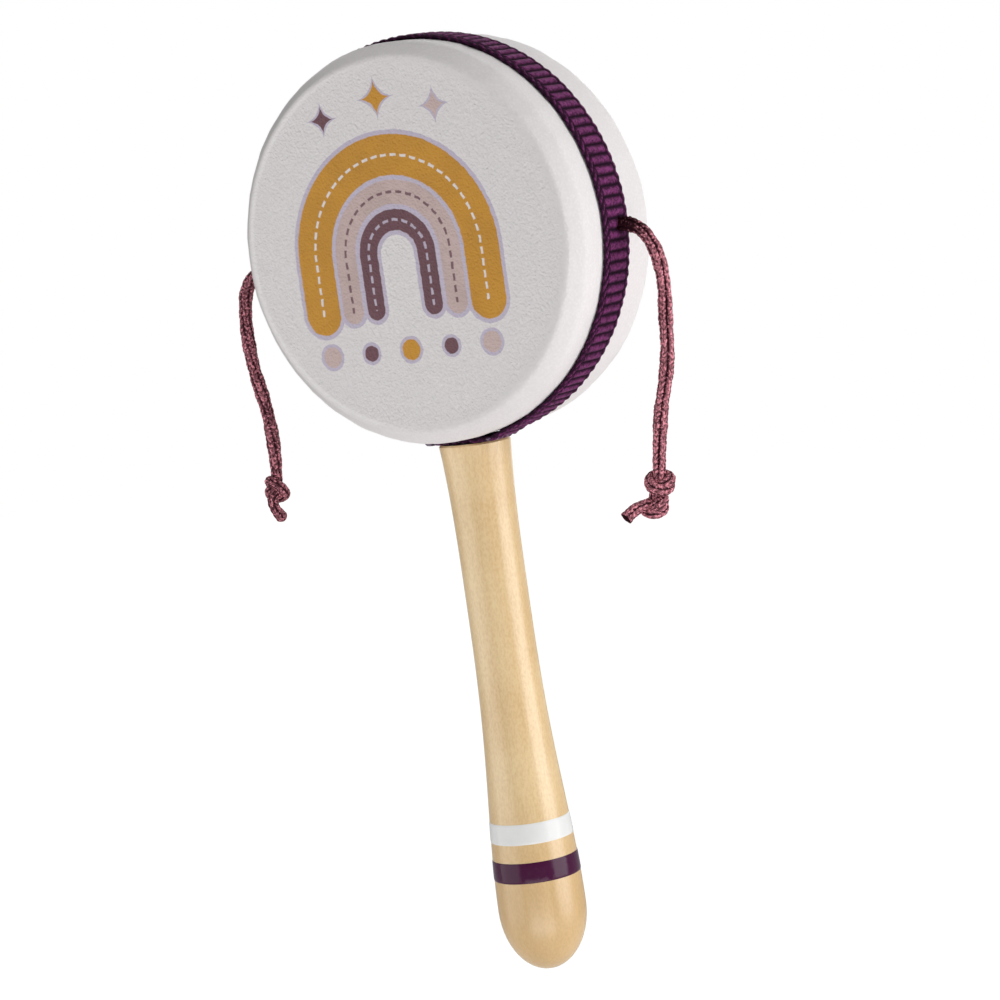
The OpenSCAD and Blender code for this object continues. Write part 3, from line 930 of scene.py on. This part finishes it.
class RATTLE_OT_ribbon(bpy.types.Operator):
    """Weaves the ribbed ribbon round the drum's side, from one rib copied round"""

    bl_idname = "rattle.ribbon"
    bl_label = "Ribbon"

    # Width of the bound edge, how far the edge falls off, and the cloth behind the ribs, in mm.
    SELVEDGE, EDGE_FALL, CLOTH = 1.5, 0.35, 0.7
    # Half width of the handle's bed, and where the ribbon is round again on its right and left.
    BED, BED_RIGHT, BED_LEFT = math.radians(10.3), math.radians(17), math.radians(12.3)
    # How far from a cord's middle the weave is drawn in, and by how much.
    HOLE_REACH, HOLE_PRESS = 4 * MM, 0.6 * MM
    # Points closer than the seam become one where the ribs join, and the seed fixes the yarn's unevenness.
    SEAM, YARN_SEED = 0.01 * MM, 11

    def rib_height(self, along, edge):
        """Height, 0 to 1, of the weave at a share of a rib and a distance from the nearer edge in mm."""
        if edge < self.SELVEDGE:
            phase = along + (self.SELVEDGE - edge) * 0.7
            swell = 0.85 * math.sqrt(max(0, 1 - ((edge - 0.72) / 0.8) ** 2))
            return swell * (0.15 + 0.85 * (0.5 - 0.5 * math.cos(2 * math.pi * phase)) ** 1.2)
        body = min(1, 0.2 + (edge - self.SELVEDGE) / 0.4)
        return body * (0.5 - 0.5 * math.cos(2 * math.pi * along)) ** 0.55

    def execute(self, context):
        sizes = context.scene.rattle_sizes
        clear_selection()
        step = 2 * math.pi / sizes.ribs
        low, high = RIBBON_MID.y - RIBBON_SIZE.y / 2, RIBBON_MID.y + RIBBON_SIZE.y / 2
        bpy.ops.mesh.primitive_grid_add(x_subdivisions=8, y_subdivisions=30, size=2, location=(0, 0, 0))
        piece = named("ribbon")
        mesh = piece.data
        rib, across, along = (
            mesh.attributes.new(key, "FLOAT", "POINT").data for key in ("rib", "across", "along")
        )
        first = -math.pi / 2
        base = sizes.ribbon_radius - sizes.rib_depth
        foot = base - self.EDGE_FALL * MM
        for vertex in mesh.vertices:
            share, width = (vertex.co.x + 1) / 2, (vertex.co.y + 1) / 2
            width = 0.5 - 0.5 * math.copysign(abs(1 - 2 * width) ** 0.75, 1 - 2 * width)
            y = low + (high - low) * width
            edge = min(y - low, high - y) / MM
            height = self.rib_height(share, edge)
            for values, value in ((rib, height), (across, width), (along, share)):
                values[vertex.index].value = value
            rise = min(1, edge / self.EDGE_FALL) ** 0.5
            radius = foot + (base - foot) * rise + sizes.rib_depth * height
            angle = first + share * step
            vertex.co = DRUM_CENTRE + Vector((radius * math.cos(angle), y, radius * math.sin(angle)))
        bpy.ops.object.empty_add(location=(0, 0, 0))
        turner = context.active_object
        to_centre = Matrix.Translation(DRUM_CENTRE)
        turner.matrix_world = to_centre @ Matrix.Rotation(-step, 4, "Y") @ Matrix.Translation(-DRUM_CENTRE)
        clear_selection()
        context.view_layer.objects.active = piece
        piece.select_set(True)
        ring = piece.modifiers.new("round_the_drum", "ARRAY")
        ring.count, ring.use_relative_offset, ring.use_object_offset = sizes.ribs, False, True
        ring.offset_object, ring.use_merge_vertices, ring.merge_threshold = turner, True, self.SEAM
        bpy.ops.object.modifier_apply(modifier=ring.name)
        bpy.data.objects.remove(turner)
        bpy.ops.object.mode_set(mode="EDIT")
        bpy.ops.mesh.select_all(action="SELECT")
        bpy.ops.mesh.remove_doubles(threshold=self.SEAM)
        bpy.ops.mesh.normals_make_consistent(inside=False)
        bpy.ops.object.mode_set(mode="OBJECT")
        self.unsettle(piece)
        self.bed_handle(piece, sizes)
        self.press_holes(piece)
        thick = piece.modifiers.new("cloth", "SOLIDIFY")
        thick.thickness, thick.offset = self.CLOTH * MM, -1
        bpy.ops.object.modifier_apply(modifier=thick.name)
        keep(piece, ribbed_weave(context.scene.rattle_colours), "drum", "ribbon", "ribbon_band")
        return {"FINISHED"}

    def bed_handle(self, piece, sizes):
        """Swells the lapped ends so that they lie flat on the handle's top."""
        for vertex in piece.data.vertices:
            place = vertex.co - DRUM_CENTRE
            away = abs(math.atan2(place.x, -place.z))
            far = self.BED_RIGHT if place.x > 0 else self.BED_LEFT
            if away < far:
                reach = min(away, self.BED)
                ease = min(1, (far - away) / (far - self.BED))
                grow = (1 / math.cos(reach) - 1) * ease * ease * (3 - 2 * ease)
                share = within((math.hypot(place.x, place.z) - sizes.drum_radius) / 0.0006)
                vertex.co += Vector((place.x, 0, place.z)) * grow * share

    def unsettle(self, piece):
        """Gives the weave the small unevenness of real yarn."""
        rib = piece.data.attributes["rib"].data
        noise.seed_set(self.YARN_SEED)
        for vertex in piece.data.vertices:
            lift = noise.noise(vertex.co * 900) * 0.00005 + noise.noise(vertex.co * 160) * 0.00004
            vertex.co += noise.noise_vector(vertex.co * 700) * 0.00006
            outward = Vector((vertex.co.x, 0, vertex.co.z - DRUM_CENTRE.z)).normalized()
            vertex.co += outward * (lift - 0.00008)
            rib[vertex.index].value *= 1 + 0.5 * noise.noise(vertex.co * 1500)

    def press_holes(self, piece):
        """Draws the weave in round the cord holes, and darkens it there as painted shade."""
        rib = piece.data.attributes["rib"].data
        for side in OUTWARD:
            mouth = SWING[side + "_swing"]
            for vertex in piece.data.vertices:
                reach = math.hypot(vertex.co.y - mouth.y, vertex.co.z - mouth.z)
                if vertex.co.x * OUTWARD[side] > 0 and reach < self.HOLE_REACH:
                    press = (1 - reach / self.HOLE_REACH) ** 2
                    vertex.co.x -= OUTWARD[side] * self.HOLE_PRESS * press
                    # painted shade round the hole, carried to the colour through the rib attribute
                    rib[vertex.index].value *= 1 - 0.8 * press


class RATTLE_OT_handle(bpy.types.Operator):
    """Turns the handle with its waist, bulb and tenon"""

    bl_idname = "rattle.handle"
    bl_label = "Handle"

    def execute(self, context):
        sizes = context.scene.rattle_sizes
        low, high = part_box("handle")
        shoulder = DRUM_CENTRE.z - sizes.ribbon_radius
        swell_run = shoulder - low[2] - sizes.bulb_end - sizes.waist_drop
        waist, top, bulb = sizes.waist / 2, sizes.handle_top / 2, sizes.bulb / 2
        tenon, bevel = sizes.tenon / 2, 0.4 * MM
        outline = [(0, high[2]), (tenon, high[2]), (tenon, shoulder)]
        outline += [(top - bevel, shoulder), (top, shoulder - bevel)]
        for i in range(1, 11):
            drop = sizes.waist_drop * i / 10
            outline.append((waist + (top - waist) * (1 - i / 10) ** 3, shoulder - drop))
        for i in range(1, 25):
            swell = (1 - math.cos(math.pi * (i / 24) ** 1.4)) / 2
            outline.append((waist + (bulb - waist) * swell, shoulder - sizes.waist_drop - swell_run * i / 24))
        for i in range(1, 15):
            a = math.radians(90 * i / 14)
            outline.append((bulb * math.cos(a) if i < 14 else 0, low[2] + sizes.bulb_end * (1 - math.sin(a))))
        piece = lathe("turned_handle", outline, UP, Vector((0, 0, 0)), sizes.handle_turns)
        colours = context.scene.rattle_colours
        wood = turned_wood("pale_lacquered_wood", tuple(colours.wood), tuple(colours.wood_grain), True)
        keep(piece, wood, "drum", "handle_wood", "handle")
        return {"FINISHED"}


class RATTLE_OT_bands(bpy.types.Operator):
    """Lays the two painted bands round the handle"""

    bl_idname = "rattle.bands"
    bl_label = "Painted Bands"

    # How deep the paint's ring goes into the wood.
    SUNK = 0.4 * MM

    def wood_radius(self, sizes, z):
        """The handle's radius at a height between the waist and the bulb."""
        shoulder = DRUM_CENTRE.z - sizes.ribbon_radius
        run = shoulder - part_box("handle")[0][2] - sizes.bulb_end - sizes.waist_drop
        share = (shoulder - sizes.waist_drop - z) / run
        return sizes.waist / 2 + (sizes.bulb - sizes.waist) / 4 * (1 - math.cos(math.pi * share**1.4))

    def execute(self, context):
        sizes, colours = context.scene.rattle_sizes, context.scene.rattle_colours
        shares = (0, 0.03, 0.1, 0.3, 0.5, 0.7, 0.9, 0.97, 1)
        proud = [0.01 * MM, 0.06 * MM, *[0.1 * MM] * 5, 0.06 * MM, 0.01 * MM]
        for name, node, tint, worn in (
            ("white_ring", "white_band", tuple(colours.white_paint), 0.88),
            ("purple_ring", "purple_band", tuple(colours.purple_paint), 1.25),
        ):
            low, high = (corner[2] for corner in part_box(node))
            heights = [low + (high - low) * t for t in shares]
            outline = [(self.wood_radius(sizes, z) + p, z) for z, p in zip(heights, proud)]
            outline += [(self.wood_radius(sizes, z) - self.SUNK, z) for z in (high, low)]
            piece = lathe(name, outline, UP, Vector((0, 0, 0)), sizes.handle_turns, closed=True)
            paint = gloss_paint(name + "_paint", tint, dimmed(tint, worn))
            keep(piece, paint, "drum", name.replace("ring", "paint"), node)
        return {"FINISHED"}


class RATTLE_OT_hoop(bpy.types.Operator):
    """Gives the hoop inside the drum its plain sanded wood"""

    bl_idname = "rattle.hoop"
    bl_label = "Hoop"

    def execute(self, context):
        hoop = frame["nodes"]["drum_shell"]
        wood = turned_wood("plain_hoop_wood", ink(205, 170, 125), ink(180, 142, 96), False)
        hoop.data.materials.clear()
        hoop.data.materials.append(wood)
        return {"FINISHED"}


class RATTLE_PT_panel(bpy.types.Panel):
    """Lists the rattle's steps and settings"""

    bl_idname = "RATTLE_PT_panel"
    bl_label = "Pellet Drum Rattle"
    bl_space_type = "VIEW_3D"
    bl_region_type = "UI"
    bl_category = "Rattle"

    def draw(self, context):
        for step in STEPS:
            self.layout.operator(step.bl_idname)
        for group in (context.scene.rattle_sizes, context.scene.rattle_colours, context.scene.rattle_stage):
            box = self.layout.box()
            for key in group.bl_rna.properties.keys():
                if key not in ("rna_type", "name"):
                    box.prop(group, key)


STEPS = (
    RATTLE_OT_stage, RATTLE_OT_strikers, RATTLE_OT_inner_knots, RATTLE_OT_skins,
    RATTLE_OT_ribbon, RATTLE_OT_handle, RATTLE_OT_bands, RATTLE_OT_hoop,
)
GROUPS = {"rattle_sizes": RattleSizes, "rattle_colours": RattleColours, "rattle_stage": RattleStage}


def register():
    for item in (*GROUPS.values(), *STEPS, RATTLE_PT_panel):
        bpy.utils.register_class(item)
    for key, group in GROUPS.items():
        setattr(bpy.types.Scene, key, PointerProperty(type=group))


def unregister():
    for key in GROUPS:
        delattr(bpy.types.Scene, key)
    for item in reversed((*GROUPS.values(), *STEPS, RATTLE_PT_panel)):
        bpy.utils.unregister_class(item)


def main():
    register()
    for step in STEPS:
        family, name = step.bl_idname.split(".")
        getattr(getattr(bpy.ops, family), name)()


if __name__ == "__main__":
    main()
